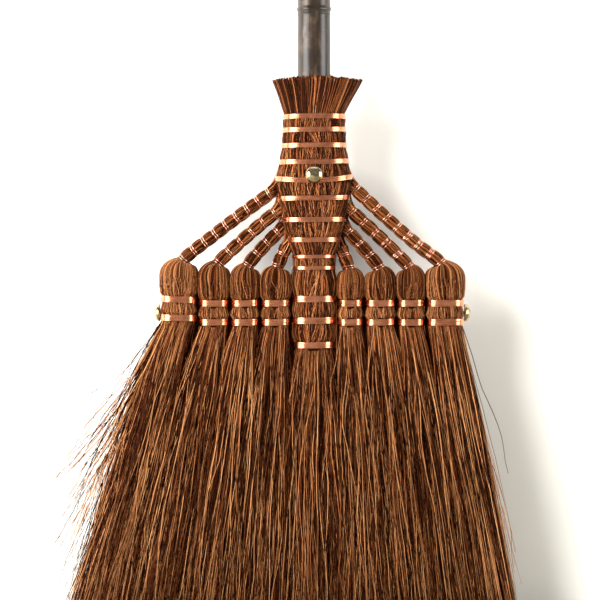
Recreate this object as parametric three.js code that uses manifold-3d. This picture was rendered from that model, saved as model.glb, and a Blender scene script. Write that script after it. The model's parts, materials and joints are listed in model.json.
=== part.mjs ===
// A long-handled palm-fibre broom with nine tufts in a row, in millimetres, +Z up.
// The origin is on the floor under the pole's axis, X runs along the sweeping edge, and -Y is the front.
//
// The central stock of fibre grips a bamboo pole, and eight side tufts hang from bound necks that merge into
// the stock. Copper wire binds every tuft twice, a bamboo skewer strings the nine tufts together, and brass
// nails hold the pole and the skewer. Below its lowest band each tuft spreads into a skirt of free bristles.

import * as THREE from "three";
import { mergeVertices } from "three/addons/utils/BufferGeometryUtils.js";
import Module from "manifold-3d";

const wasm = await Module();
wasm.setup();

// ---- Driving dimensions ----

const GAP = 0.3; // between neighbouring pieces
const SIDES = 16; // corners round a stock, tuft or band section
const ROD_SIDES = 8; // corners round a rod, nail hole or knot
const NECK_SIDES = 6; // corners round a neck, its wire or the cord

const SKEWER = { z: 218.6, radius: 2, pilotRadius: 1.3, pilotDepth: 13 };
const NAIL = { domeRadius: 6.5, domeHeight: 4.8, shankRadius: 1.1, shankLength: 14 };
const SIDE_SHANK_LENGTH = 12;
const HANDLE_NAIL_Z = 318.8;
const BAND_THICKNESS = 1;

// The stock's outline: height, half width and half depth of each station, narrowest under its bands.
const STOCK = [
  { z: 191.8, w: 14.8, d: 14.8 },
  { z: 198.2, w: 14.8, d: 14.8 },
  { z: 204.0, w: 16.2, d: 16.2 },
  { z: 209.6, w: 15.3, d: 15.6 },
  { z: 216.0, w: 15.3, d: 15.6 },
  { z: 220.6, w: 16.0, d: 16.4 },
  { z: 225.0, w: 15.3, d: 16.0 },
  { z: 232.0, w: 15.3, d: 16.0 },
  { z: 241.0, w: 16.4, d: 17.4 },
  { z: 248.4, w: 15.2, d: 16.6 },
  { z: 262.0, w: 15.4, d: 16.8 },
  { z: 269.2, w: 18.6, d: 18.2 },
  { z: 274.0, w: 18.6, d: 18.2 },
  { z: 283.8, w: 22.4, d: 18.6 },
  { z: 288.6, w: 22.4, d: 18.6 },
  { z: 299.6, w: 25.3, d: 18.9 },
  { z: 304.4, w: 25.3, d: 18.9 },
  { z: 312.0, w: 27.2, d: 19.0 },
  { z: 317.2, w: 27.2, d: 19.0 },
  { z: 325.7, w: 24.6, d: 18.6 },
  { z: 330.5, w: 24.6, d: 18.6 },
  { z: 337.9, w: 22.9, d: 18.2 },
  { z: 342.7, w: 22.9, d: 18.2 },
  { z: 349.2, w: 22.2, d: 17.9 },
  { z: 363.8, w: 22.2, d: 17.9 },
  { z: 376.0, w: 27.4, d: 20.6 },
  { z: 389.0, w: 33.6, d: 24.6 },
];
const STOCK_BORE_GAP = 0.3;

// The stock's copper bands: name, middle height and band height.
const STOCK_BANDS = [
  { name: "stock_band_1", z: 361.4, height: 4.4 },
  { name: "stock_band_2", z: 351.6, height: 4.4 },
  { name: "stock_band_3", z: 340.3, height: 4.4 },
  { name: "stock_band_4", z: 328.1, height: 4.4 },
  { name: "stock_band_5", z: 314.7, height: 4.4 },
  { name: "stock_band_6", z: 302.0, height: 4.4 },
  { name: "stock_band_7", z: 286.2, height: 4.4 },
  { name: "stock_band_8", z: 271.6, height: 4.4 },
  { name: "centre_band_upper", z: 228.5, height: 5.6 },
  { name: "centre_band_middle", z: 212.8, height: 5.6 },
  { name: "centre_band_lower", z: 195.0, height: 5.4 },
];
const CENTRE_NECK_TURNS = [259.3, 251.1]; // the two short bands that share one wire
const CENTRE_NECK_TURN_HEIGHT = 3.6;
const STOCK_WRAPS = [...STOCK_BANDS, ...CENTRE_NECK_TURNS.map((z) => ({ z, height: CENTRE_NECK_TURN_HEIGHT }))];

// The side tufts, numbered outward from the centre on each side. x and w are the tuft's middle and half width,
// root and entry are the neck's ends as x and z, bow is how far it arches over the straight line between them,
// and turns is how many times the neck wire goes round in pairs.
const TUFTS = [
  { name: "left_1", x: -27.9, w: 10.9, root: [-26.6, 252.2], entry: [-19.4, 267.5], bow: 0.6, turns: 2 },
  { name: "left_2", x: -50.3, w: 10.5, root: [-48.2, 253.1], entry: [-21.5, 282.0], bow: 1.0, turns: 4 },
  { name: "left_3", x: -73.0, w: 11.2, root: [-69.8, 254.8], entry: [-23.4, 295.6], bow: 1.0, turns: 6 },
  { name: "left_4", x: -98.6, w: 13.4, root: [-95.3, 257.1], entry: [-27.2, 309.2], bow: 0.8, turns: 9 },
  { name: "right_1", x: 26.5, w: 9.5, root: [25.2, 251.2], entry: [19.4, 267.5], bow: 0.5, turns: 2 },
  { name: "right_2", x: 48.3, w: 11.3, root: [47.5, 251.4], entry: [20.5, 282.4], bow: 0.8, turns: 4 },
  { name: "right_3", x: 70.7, w: 10.1, root: [68.8, 252.4], entry: [22.6, 297.0], bow: 1.0, turns: 6 },
  { name: "right_4", x: 95.6, w: 13.8, root: [92.5, 254.8], entry: [25.2, 313.2], bow: -1.6, turns: 9 },
];
const TUFT = {
  depth: 14.5, // half depth of the tuft
  foot: 207.6, // underside of the crown, where the bristles come free
  lowerBand: { z: 211.6, height: 5.6 },
  upperBand: { z: 225.4, height: 5.6 },
  pinch: 0.5, // how far a band squeezes the tuft in
  shoulder: 243, // where the crown starts to close in on its neck
};
const NECK_RADIUS = 4.4;
const NECK_WIRE = { clearance: 0.45, thickness: 0.6, turnHeight: 2.2, runRadius: 0.22, start: 9, end: 16 };

// The skirts spread evenly: a place at x under the bands reaches x times this factor at the floor.
const SPREAD_LEFT = 1.56;
const SPREAD_RIGHT = 1.42;
const SKIRT_FOOT_DEPTH = 15.5; // half depth at the floor
const SKIRT_GAP = 0.6; // between a crown and the round top of its skirt

const POLE = {
  foot: 263,
  top: 1300,
  footRadius: 12.4,
  topRadius: 10.2,
  wall: 3.6,
  nodes: [438, 588, 742, 893, 1040, 1176, 1290],
  ridge: 0.9, // how far a node stands proud
  endPlate: 12,
};
const CORD = { z: 1262, radius: 1.6, holeRadius: 2.4, loopTop: 1352, halfWidth: 15, knotRadius: 4.4 };

// ---- Materials ----

const finish = (color, roughness, metalness) => new THREE.MeshStandardMaterial({ color, roughness, metalness });
const FIBRE = finish(0x7a4a2c, 0.75, 0);
const COPPER = finish(0xd98a68, 0.25, 1);
const BRASS = finish(0xcaa965, 0.18, 1);
const BLACK_BAMBOO = finish(0x3b2f28, 0.28, 0);
const PALE_BAMBOO = finish(0xc9a872, 0.6, 0);
const COTTON = finish(0x2c2420, 0.9, 0);

// ---- Solids: closed meshes joined and cut ----

function toSolid(geometry) {
  const bare = geometry.index ? geometry.toNonIndexed() : geometry.clone();
  bare.deleteAttribute("normal");
  bare.deleteAttribute("uv");
  const merged = mergeVertices(bare, 1e-3);
  const vertProperties = merged.attributes.position.array;
  const triVerts = new Uint32Array(merged.index.array);
  return new wasm.Manifold(new wasm.Mesh({ numProp: 3, vertProperties, triVerts }));
}

function toGeometry(solid) {
  const mesh = solid.getMesh();
  const positions = new Float32Array(mesh.numVert * 3);
  for (let i = 0; i < mesh.numVert; i++) {
    const start = i * mesh.numProp;
    positions.set(mesh.vertProperties.subarray(start, start + 3), i * 3);
  }
  return new THREE.BufferGeometry()
    .setAttribute("position", new THREE.BufferAttribute(positions, 3))
    .setIndex(new THREE.BufferAttribute(mesh.triVerts, 1));
}

// The largest piece that a cut leaves.
const largest = (solid) => solid.decompose().reduce((a, b) => (b.volume() > a.volume() ? b : a));

// ---- Shapes ----

// A solid of stacked ellipses. A station has a height z, half width w, half depth d and middle x.
function stacked(stations, sides = SIDES) {
  const ends = [stations[0], ...stations, stations[stations.length - 1]];
  const lastIndex = ends.length - 1;
  const profile = ends.map((s, i) => new THREE.Vector2(i === 0 || i === lastIndex ? 0 : 1, s.z));
  const geometry = new THREE.LatheGeometry(profile, sides).rotateX(Math.PI / 2);
  const position = geometry.attributes.position;
  for (let i = 0; i < position.count; i++) {
    const station = ends[i % ends.length];
    const x = (station.x ?? 0) + position.getX(i) * station.w;
    position.setXYZ(i, x, position.getY(i) * station.d, station.z);
  }
  return geometry;
}

// The stock's half width and half depth at a height, straight between its stations.
function stockAt(z) {
  const above = STOCK.findIndex((s) => s.z >= z);
  if (above <= 0) return STOCK[0];
  const [low, high] = [STOCK[above - 1], STOCK[above]];
  const share = (z - low.z) / (high.z - low.z);
  return { w: THREE.MathUtils.lerp(low.w, high.w, share), d: THREE.MathUtils.lerp(low.d, high.d, share) };
}

const ellipsePoints = (w, d) =>
  Array.from({ length: SIDES }, (_, i) => {
    const angle = (2 * Math.PI * i) / SIDES;
    return new THREE.Vector2(w * Math.sin(angle), -d * Math.cos(angle));
  });

// A flat-sided ring of wire round an ellipse of half width w and half depth d.
function band({ x = 0, z, w, d, height, clearance = GAP, thickness = BAND_THICKNESS }) {
  const outer = clearance + thickness;
  const shape = new THREE.Shape(ellipsePoints(w + outer, d + outer));
  shape.holes.push(new THREE.Path(ellipsePoints(w + clearance, d + clearance)));
  const geometry = new THREE.ExtrudeGeometry(shape, { depth: height, bevelEnabled: false });
  return geometry.translate(x, 0, z - height / 2);
}

// The full ellipse that a band and its clearance fill, for cutting a neck that passes under it.
const bandBlock = ({ z, height }) => {
  const { w, d } = stockAt(z);
  const reach = GAP + BAND_THICKNESS + GAP;
  const half = height / 2 + GAP;
  const side = { w: w + reach, d: d + reach };
  return toSolid(stacked([{ z: z - half, ...side }, { z: z + half, ...side }]));
};

function rod(radius, from, to, sides = ROD_SIDES) {
  const axis = new THREE.Vector3().subVectors(to, from);
  const turn = new THREE.Quaternion().setFromUnitVectors(new THREE.Vector3(0, 1, 0), axis.clone().normalize());
  const middle = new THREE.Vector3().addVectors(from, to).multiplyScalar(0.5);
  return new THREE.CylinderGeometry(radius, radius, axis.length(), sides)
    .applyQuaternion(turn)
    .translate(middle.x, middle.y, middle.z);
}

const circleShape = (radius, sides = NECK_SIDES) => {
  const corner = (_, i) => {
    const angle = (2 * Math.PI * i) / sides;
    return new THREE.Vector2(radius * Math.cos(angle), radius * Math.sin(angle));
  };
  return new THREE.Shape(Array.from({ length: sides }, corner));
};

const tubeAlong = (curve, radius, steps, sides) =>
  new THREE.ExtrudeGeometry(circleShape(radius, sides), { steps, extrudePath: curve });

// ---- The stock, its pole and its bands ----

function poleRadius(z) {
  const share = (z - POLE.foot) / (POLE.top - POLE.foot);
  return THREE.MathUtils.lerp(POLE.footRadius, POLE.topRadius, share);
}

function handlePole() {
  const bore = POLE.topRadius - POLE.wall;
  const plate = POLE.top - POLE.endPlate;
  const profile = [new THREE.Vector2(0, plate), new THREE.Vector2(bore, plate), new THREE.Vector2(bore, POLE.foot)];
  profile.push(new THREE.Vector2(poleRadius(POLE.foot), POLE.foot));
  for (const z of POLE.nodes) {
    const radius = poleRadius(z);
    profile.push(new THREE.Vector2(radius, z - 5));
    profile.push(new THREE.Vector2(radius + POLE.ridge, z));
    profile.push(new THREE.Vector2(radius, z + 5));
  }
  profile.push(new THREE.Vector2(POLE.topRadius, POLE.top), new THREE.Vector2(0, POLE.top));
  const pole = toSolid(new THREE.LatheGeometry(profile, SIDES).rotateX(Math.PI / 2));
  const reach = 2 * POLE.footRadius;
  const cordHole = rod(CORD.holeRadius, new THREE.Vector3(-reach, 0, CORD.z), new THREE.Vector3(reach, 0, CORD.z));
  const nailHole = rod(
    NAIL.shankRadius + GAP,
    new THREE.Vector3(0, -reach, HANDLE_NAIL_Z),
    new THREE.Vector3(0, 0, HANDLE_NAIL_Z),
  );
  return toGeometry(pole.subtract(toSolid(cordHole)).subtract(toSolid(nailHole)));
}

// The hole that the skewer leaves through every tuft.
const skewerHole = () => {
  const reach = 200;
  const from = new THREE.Vector3(-reach, 0, SKEWER.z);
  return toSolid(rod(SKEWER.radius + GAP, from, new THREE.Vector3(reach, 0, SKEWER.z)));
};

function centreStock() {
  const boreRadius = POLE.footRadius + STOCK_BORE_GAP;
  const from = new THREE.Vector3(0, 0, POLE.foot - GAP);
  const bore = rod(boreRadius, from, new THREE.Vector3(0, 0, POLE.top), SIDES);
  const nailFrom = new THREE.Vector3(0, -40, HANDLE_NAIL_Z);
  const nailHole = rod(NAIL.shankRadius + GAP, nailFrom, new THREE.Vector3(0, 0, HANDLE_NAIL_Z));
  const cut = toSolid(stacked(STOCK)).subtract(toSolid(bore)).subtract(toSolid(nailHole));
  return toGeometry(cut.subtract(skewerHole()));
}

const stockBand = ({ z, height }) => band({ z, height, ...stockAt(z) });

// Two short bands from one wire, which runs up the back from one to the other.
function centreNeckWire() {
  const rings = CENTRE_NECK_TURNS.map((z) => toSolid(stockBand({ z, height: CENTRE_NECK_TURN_HEIGHT })));
  const back = stockAt(CENTRE_NECK_TURNS[0]).d + GAP + BAND_THICKNESS / 2;
  const [top, bottom] = CENTRE_NECK_TURNS.map((z) => new THREE.Vector3(0, back, z));
  const run = toSolid(rod(BAND_THICKNESS / 2 - 0.05, bottom, top));
  return toGeometry(rings[0].add(rings[1]).add(run));
}

// ---- Nails and the skewer ----

// A round-headed nail: its head rests at the origin and stands up along +Y, with its shank along -Y.
function nail(shankLength) {
  const { domeRadius, domeHeight, shankRadius } = NAIL;
  const profile = [
    new THREE.Vector2(0, -shankLength),
    new THREE.Vector2(shankRadius, 3 - shankLength),
    new THREE.Vector2(shankRadius, 0),
    new THREE.Vector2(domeRadius, 0),
  ];
  const steps = 4;
  for (let i = 1; i <= steps; i++) {
    const angle = (Math.PI / 2) * (i / steps);
    profile.push(new THREE.Vector2(domeRadius * Math.cos(angle), domeHeight * Math.sin(angle)));
  }
  profile[profile.length - 1].x = 0;
  return new THREE.LatheGeometry(profile, SIDES);
}

const tuftEdge = (tuft) => Math.abs(tuft.x) + tuft.w;
const leftEdge = tuftEdge(TUFTS.find((t) => t.name === "left_4"));
const rightEdge = tuftEdge(TUFTS.find((t) => t.name === "right_4"));

function crossSkewer() {
  const inset = 2;
  const left = new THREE.Vector3(inset - leftEdge, 0, SKEWER.z);
  const right = new THREE.Vector3(rightEdge - inset, 0, SKEWER.z);
  const along = new THREE.Vector3(SKEWER.pilotDepth, 0, 0);
  const beyond = new THREE.Vector3(1, 0, 0);
  const pilot = (from, to) => toSolid(rod(SKEWER.pilotRadius, from, to));
  const stick = toSolid(rod(SKEWER.radius, left, right))
    .subtract(pilot(left.clone().sub(beyond), left.clone().add(along)))
    .subtract(pilot(right.clone().sub(along), right.clone().add(beyond)));
  return toGeometry(stick);
}

// ---- The side tufts ----

// The neck climbs out of the crown and leans over into the stock.
function neckCurve({ root, entry, bow }) {
  const [start, end] = [root, entry].map(([x, z]) => new THREE.Vector3(x, 0, z));
  const lean = new THREE.Vector3().subVectors(end, start).normalize();
  const arch = (share) => start.clone().lerp(end, share).add(new THREE.Vector3(0, 0, bow));
  const below = start.clone().add(new THREE.Vector3(-lean.x * 3, 0, -5));
  const inside = end.clone().addScaledVector(lean, 9);
  return new THREE.CatmullRomCurve3([below, start, arch(0.25), arch(0.6), end, inside]);
}

const stockEnvelope = toSolid(stacked(STOCK.map((s) => ({ z: s.z, w: s.w + GAP, d: s.d + GAP }))));

function crown(tuft) {
  const { depth, foot, lowerBand, upperBand, pinch, shoulder } = TUFT;
  const pinched = (z) => ({ z, x: tuft.x, w: tuft.w - pinch, d: depth - pinch });
  const full = (z) => ({ z, x: tuft.x, w: tuft.w, d: depth });
  const stations = [pinched(foot), pinched(lowerBand.z + 3), full(SKEWER.z), pinched(upperBand.z - 3)];
  stations.push(pinched(upperBand.z + 3), full(upperBand.z + 8));
  const [rootX, rootZ] = tuft.root;
  const closingDrop = 4; // how far below the neck's root the dome meets the neck
  const steps = 3;
  for (let i = 0; i <= steps; i++) {
    const angle = (Math.PI / 2) * (i / steps);
    const share = Math.sin(angle);
    const closing = Math.cos(angle) ** 0.8;
    stations.push({
      z: THREE.MathUtils.lerp(shoulder, rootZ - closingDrop, share),
      x: THREE.MathUtils.lerp(tuft.x, rootX, share ** 2),
      w: Math.max(NECK_RADIUS, tuft.w * closing),
      d: Math.max(NECK_RADIUS, depth * closing),
    });
  }
  const neck = toSolid(tubeAlong(neckCurve(tuft), NECK_RADIUS, 14));
  let solid = toSolid(stacked(stations)).add(neck).subtract(stockEnvelope);
  for (const item of STOCK_WRAPS) solid = solid.subtract(bandBlock(item));
  return toGeometry(largest(solid).subtract(skewerHole()));
}

const tuftBand = (tuft, { z, height }) =>
  band({ x: tuft.x, z, height, w: tuft.w - TUFT.pinch, d: TUFT.depth - TUFT.pinch, thickness: 0.6, clearance: 0.2 });

// Pairs of turns round the neck, all of one wire that runs along the neck's back between them.
function neckWire(tuft) {
  const curve = neckCurve(tuft);
  const length = curve.getLength();
  const first = NECK_WIRE.start / length;
  const last = 1 - NECK_WIRE.end / length;
  const { clearance, thickness, turnHeight, runRadius } = NECK_WIRE;
  const inner = NECK_RADIUS + clearance;
  const along = new THREE.Vector3(0, 0, 1);
  const ring = (share) => {
    const shape = circleShape(inner + thickness);
    shape.holes.push(new THREE.Path(circleShape(inner).getPoints()));
    const turn = new THREE.Quaternion().setFromUnitVectors(along, curve.getTangentAt(share));
    const at = curve.getPointAt(share);
    const geometry = new THREE.ExtrudeGeometry(shape, { depth: turnHeight, bevelEnabled: false });
    geometry.rotateZ(Math.PI / 2).translate(0, 0, -turnHeight / 2);
    geometry.applyQuaternion(turn).translate(at.x, at.y, at.z);
    return toSolid(geometry);
  };
  const shares = Array.from({ length: tuft.turns }, (_, i) => first + ((last - first) * i) / (tuft.turns - 1));
  const back = inner + thickness / 2;
  const behind = shares.map((share) => curve.getPointAt(share).add(new THREE.Vector3(0, back, 0)));
  const run = toSolid(tubeAlong(new THREE.CatmullRomCurve3(behind), runRadius, tuft.turns, 4));
  return toGeometry(shares.map(ring).reduce((all, part) => all.add(part), run));
}

// ---- The bristle skirts ----

const spread = (x) => x * (x < 0 ? SPREAD_LEFT : SPREAD_RIGHT);

// A skirt hangs from a round top, so that it can flex forward and back under its crown.
function skirt({ x, w, depth, top }) {
  const pivot = top - SKIRT_GAP - depth;
  const steps = 3;
  const [left, right] = [spread(x - w), spread(x + w)];
  const stations = [{ z: 0, x: (left + right) / 2, w: (right - left) / 2, d: SKIRT_FOOT_DEPTH }];
  stations.push({ z: pivot, x, w, d: depth });
  for (let i = 1; i <= steps; i++) {
    const angle = (Math.PI / 2) * (i / (steps + 0.4));
    const reach = Math.cos(angle);
    stations.push({ z: pivot + depth * Math.sin(angle), x, w: w * reach, d: depth * reach });
  }
  return stacked(stations);
}

// ---- The hanging cord ----

// A loop through the pole's cross hole, tied at its top.
function hangingCord() {
  const { z, radius, loopTop, halfWidth, knotRadius } = CORD;
  const middle = (z + loopTop) / 2;
  const rising = [
    [0, z],
    [5.5, z],
    [11, z],
    [halfWidth - 1, z + 3.2],
    [halfWidth, z + 12],
    [halfWidth, middle],
    [halfWidth - 3, loopTop - 16],
    [6, loopTop - 4],
    [0, loopTop],
  ];
  const leftSide = rising.slice(1).reverse().map(([x, height]) => new THREE.Vector3(-x, 0, height));
  const rightSide = rising.map(([x, height]) => new THREE.Vector3(x, 0, height));
  const loop = toSolid(tubeAlong(new THREE.CatmullRomCurve3([...leftSide, ...rightSide]), radius, 32));
  const knot = new THREE.SphereGeometry(knotRadius, ROD_SIDES, 6).translate(0, 0, loopTop);
  const tail = (side) =>
    toSolid(rod(radius, new THREE.Vector3(0, 0, loopTop), new THREE.Vector3(side * 5, 0, loopTop + 12)));
  return toGeometry(loop.add(toSolid(knot)).add(tail(-1)).add(tail(1)));
}

// ---- The assembly ----

const broom = new THREE.Group();

function place(name, geometry, material) {
  const mesh = new THREE.Mesh(geometry, material);
  mesh.name = name;
  broom.add(mesh);
  return mesh;
}

place("handle_pole", handlePole(), BLACK_BAMBOO);
place("hanging_cord", hangingCord(), COTTON);
place("centre_stock", centreStock(), FIBRE);
for (const item of STOCK_BANDS) place(item.name, stockBand(item), COPPER);
place("centre_neck_wire", centreNeckWire(), COPPER);

const handleNail = place("handle_nail", nail(NAIL.shankLength), BRASS);
handleNail.rotation.x = Math.PI;
handleNail.position.set(0, -(stockAt(HANDLE_NAIL_Z).d + GAP + BAND_THICKNESS + GAP), HANDLE_NAIL_Z);

place("cross_skewer", crossSkewer(), PALE_BAMBOO);
const leftNail = place("side_nail_left", nail(SIDE_SHANK_LENGTH), BRASS);
leftNail.rotation.z = Math.PI / 2;
leftNail.position.set(-(leftEdge + GAP), 0, SKEWER.z);
const rightNail = place("side_nail_right", nail(SIDE_SHANK_LENGTH), BRASS);
rightNail.rotation.z = -Math.PI / 2;
rightNail.position.set(rightEdge + GAP, 0, SKEWER.z);

for (const tuft of TUFTS) {
  place(`${tuft.name}_crown`, crown(tuft), FIBRE);
  place(`${tuft.name}_neck_wire`, neckWire(tuft), COPPER);
  place(`${tuft.name}_band_upper`, tuftBand(tuft, TUFT.upperBand), COPPER);
  place(`${tuft.name}_band_lower`, tuftBand(tuft, TUFT.lowerBand), COPPER);
  place(`${tuft.name}_skirt`, skirt({ ...tuft, depth: TUFT.depth, top: TUFT.foot }), FIBRE);
}
place("centre_skirt", skirt({ x: 0, w: 15.8, depth: 15.4, top: STOCK[0].z }), FIBRE);

export default broom;
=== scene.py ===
"""A palm-fibre broom of nine copper-bound tufts on a black bamboo pole, built fibre by fibre round the frame.

Every length is in millimetres until a mesh is made. X runs along the row of tufts, -Y is the front and
+Z is up.
"""

import json
import math

import bpy
import numpy as np
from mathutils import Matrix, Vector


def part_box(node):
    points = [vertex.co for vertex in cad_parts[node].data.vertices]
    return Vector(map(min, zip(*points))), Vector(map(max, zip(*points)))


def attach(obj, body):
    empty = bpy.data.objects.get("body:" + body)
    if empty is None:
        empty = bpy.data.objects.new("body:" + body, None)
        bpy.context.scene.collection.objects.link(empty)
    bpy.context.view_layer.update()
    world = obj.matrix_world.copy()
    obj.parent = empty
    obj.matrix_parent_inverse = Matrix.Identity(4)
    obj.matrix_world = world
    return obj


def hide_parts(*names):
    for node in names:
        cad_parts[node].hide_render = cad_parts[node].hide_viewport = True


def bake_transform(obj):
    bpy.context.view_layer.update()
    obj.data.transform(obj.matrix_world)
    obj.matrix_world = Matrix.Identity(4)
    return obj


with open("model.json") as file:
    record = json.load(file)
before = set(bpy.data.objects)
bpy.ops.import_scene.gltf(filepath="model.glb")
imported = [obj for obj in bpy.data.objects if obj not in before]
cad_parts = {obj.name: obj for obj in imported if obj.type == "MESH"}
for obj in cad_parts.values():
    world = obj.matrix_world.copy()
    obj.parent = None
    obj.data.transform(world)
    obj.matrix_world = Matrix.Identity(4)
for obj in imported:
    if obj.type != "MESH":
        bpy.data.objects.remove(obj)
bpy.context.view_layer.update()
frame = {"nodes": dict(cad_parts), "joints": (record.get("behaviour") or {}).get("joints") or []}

MM = 0.001
TAU = 2 * math.pi
GOLDEN_SHARE = 0.618034
UP = np.array([0.0, 0.0, 1.0])
BACK = np.array([0.0, 1.0, 0.0])

TUFTS = [f"{side}_{number}" for side in ("left", "right") for number in (1, 2, 3, 4)]
STOCK_BANDS = [f"stock_band_{number}" for number in range(1, 9)]
CENTRE_BANDS = ["centre_band_upper", "centre_band_middle", "centre_band_lower"]

# ---- Reading the frame ----


def cad_points(node):
    mesh = frame["nodes"][node].data
    points = np.zeros(len(mesh.vertices) * 3)
    mesh.vertices.foreach_get("co", points)
    return points.reshape(-1, 3) / MM


def box(node):
    """A node's middle and half size, in millimetres."""
    low, high = (np.array(corner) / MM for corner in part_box(node))
    return (low + high) / 2, (high - low) / 2


def level(node, z, reach=0.6):
    """The middle x, half width and half depth of a node's corners near a height."""
    points = cad_points(node)
    near = points[abs(points[:, 2] - z) < reach]
    low, high = near.min(axis=0), near.max(axis=0)
    return (low[0] + high[0]) / 2, (high[0] - low[0]) / 2, (high[1] - low[1]) / 2


RING_CORNERS = 16  # of the CAD's round sections


def ring_levels(node, smallest):
    """Heights, half widths and half depths of a node's full rings of corners that are larger than smallest."""
    points = cad_points(node)
    heights, counts = np.unique(points[:, 2].round(1), return_counts=True)
    rows = []
    for z in heights[counts >= RING_CORNERS]:
        _, w, d = level(node, z, reach=0.11)
        if min(w, d) > smallest:
            rows.append((z, w, d))
    return np.array(rows)


def ring_centres(node):
    """The middle of each ring of a neck wire, from the crown up."""
    points = cad_points(node)
    front = np.unique(points[points[:, 1] < points[:, 1].min() + 0.1][:, [0, 2]].round(1), axis=0)
    order = (front[:, 1] - abs(front[:, 0])).argsort()
    return front[order].reshape(-1, 2, 2).mean(axis=1)


JOINTS = {joint["name"]: joint for joint in frame["joints"]}
POLE_LEVELS = ring_levels("handle_pole", 10)
POLE_FOOT, POLE_TOP = POLE_LEVELS[0, 0], POLE_LEVELS[-1, 0]
POLE_RADIUS = (POLE_LEVELS[0, 1], POLE_LEVELS[-1, 1])
STOCK_LEVELS = ring_levels("centre_stock", POLE_RADIUS[0] + 1)
STOCK_FOOT, STOCK_TOP = STOCK_LEVELS[0, 0], STOCK_LEVELS[-1, 0]


def stock_at(z):
    """The stock's half width and half depth at each height."""
    heights, widths, depths = STOCK_LEVELS.T
    return np.interp(z, heights, widths), np.interp(z, heights, depths)


def pole_taper(z):
    return np.interp(z, [POLE_FOOT, POLE_TOP], POLE_RADIUS)


# ---- Meshes: closed tubes and lofts ----


def unit(vectors):
    return vectors / np.maximum(np.linalg.norm(vectors, axis=-1, keepdims=True), 1e-9)


def ease(share):
    share = np.clip(share, 0, 1)
    return share * share * (3 - 2 * share)


def circle(sides, power=1.0, height=1.0):
    """Corners of a round section. A power under 1 squares it off, and height stretches its second axis."""
    angle = TAU * np.arange(sides) / sides
    corner = np.stack([np.cos(angle), np.sin(angle)], axis=-1)
    corner = np.sign(corner) * abs(corner) ** power
    corner[:, 1] *= height
    return corner


THREAD = circle(3)
ROUND_STEPS = np.linspace(0, TAU, 721)


def squared(angle, power):
    """Cosine and sine of an angle, with the round section they draw squared off by a power under 1."""
    c, s = np.cos(angle), np.sin(angle)
    return np.sign(c) * abs(c) ** power, np.sign(s) * abs(s) ** power


def even_angle(turn, power):
    """The angle at a share of the way round a squared section, measured along its outline."""
    x, y = squared(ROUND_STEPS, power)
    walked = np.concatenate([[0], np.cumsum(np.hypot(np.diff(x), np.diff(y)))])
    whole = np.floor(turn)
    return TAU * whole + np.interp((turn - whole) * walked[-1], walked, ROUND_STEPS)


def tubes(paths, radius, tint, reference, section=THREAD):
    """Closed tubes along paths shaped (tubes, points, 3), with a tint for each tube or for each of its points.

    The reference is any direction that a path never follows.
    """
    radius = np.broadcast_to(radius, paths.shape[:2])
    tangent = unit(np.gradient(paths, axis=1))
    across = unit(np.cross(tangent, np.broadcast_to(reference, paths.shape)))
    other = np.cross(tangent, across)
    offsets = across[:, :, None] * section[:, 0, None] + other[:, :, None] * section[:, 1, None]
    tint = np.asarray(tint) if np.ndim(tint) == 2 else np.broadcast_to(tint, len(paths))
    return paths[:, :, None] + radius[:, :, None, None] * offsets, tint


def loft(middle_x, half_width, half_depth, heights, tint, sides=40):
    """A closed upright solid of stacked ellipses."""
    corner = circle(sides)
    rings = np.zeros((1, len(heights), sides, 3))
    rings[0, :, :, 0] = np.asarray(middle_x)[..., None] + np.asarray(half_width)[:, None] * corner[:, 0]
    rings[0, :, :, 1] = np.asarray(half_depth)[:, None] * corner[:, 1]
    rings[0, :, :, 2] = np.asarray(heights)[:, None]
    return rings, np.array([tint])


def tube_faces(count, rings, sides, first):
    """Corner numbers of the side quads and the end caps of tubes that are numbered one after another."""
    start = first + np.arange(count)[:, None, None] * rings * sides
    ring = np.arange(rings - 1)[None, :, None] * sides
    side = np.arange(sides)[None, None, :]
    following = (side + 1) % sides
    quads = np.stack([start + ring + side, start + ring + following,
                      start + ring + sides + following, start + ring + sides + side], axis=-1)
    begin = start[:, :, 0] + np.arange(sides)[::-1]
    end = start[:, :, 0] + (rings - 1) * sides + np.arange(sides)
    return quads.reshape(-1, 4), np.concatenate([begin, end])


def tube_uvs(cells, rings, sides, columns, rows):
    """Places every tube in a cell of its own on the texture."""
    column, row = cells % columns, cells // columns
    ring = np.arange(rings - 1)[None, :, None]
    side = np.arange(sides)[None, None, :]
    low_u, high_u = (0.1 + 0.8 * (side + step) / sides for step in (0, 1))
    low_v, high_v = (0.1 + 0.8 * (ring + step) / (rings - 1) for step in (0, 1))
    grid = np.zeros((len(cells), rings - 1, sides, 4, 2))
    for corner, (u, v) in enumerate([(low_u, low_v), (high_u, low_v), (high_u, high_v), (low_u, high_v)]):
        grid[..., corner, 0] = (column[:, None, None] + u) / columns
        grid[..., corner, 1] = (row[:, None, None] + v) / rows
    caps = np.zeros((2, len(cells), sides, 2))
    for end, v in enumerate((0.1, 0.9)):
        caps[end, ..., 0] = ((column + 0.5) / columns)[:, None]
        caps[end, ..., 1] = ((row + v) / rows)[:, None]
    return grid.reshape(-1, 2), caps.reshape(-1, 2)


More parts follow.
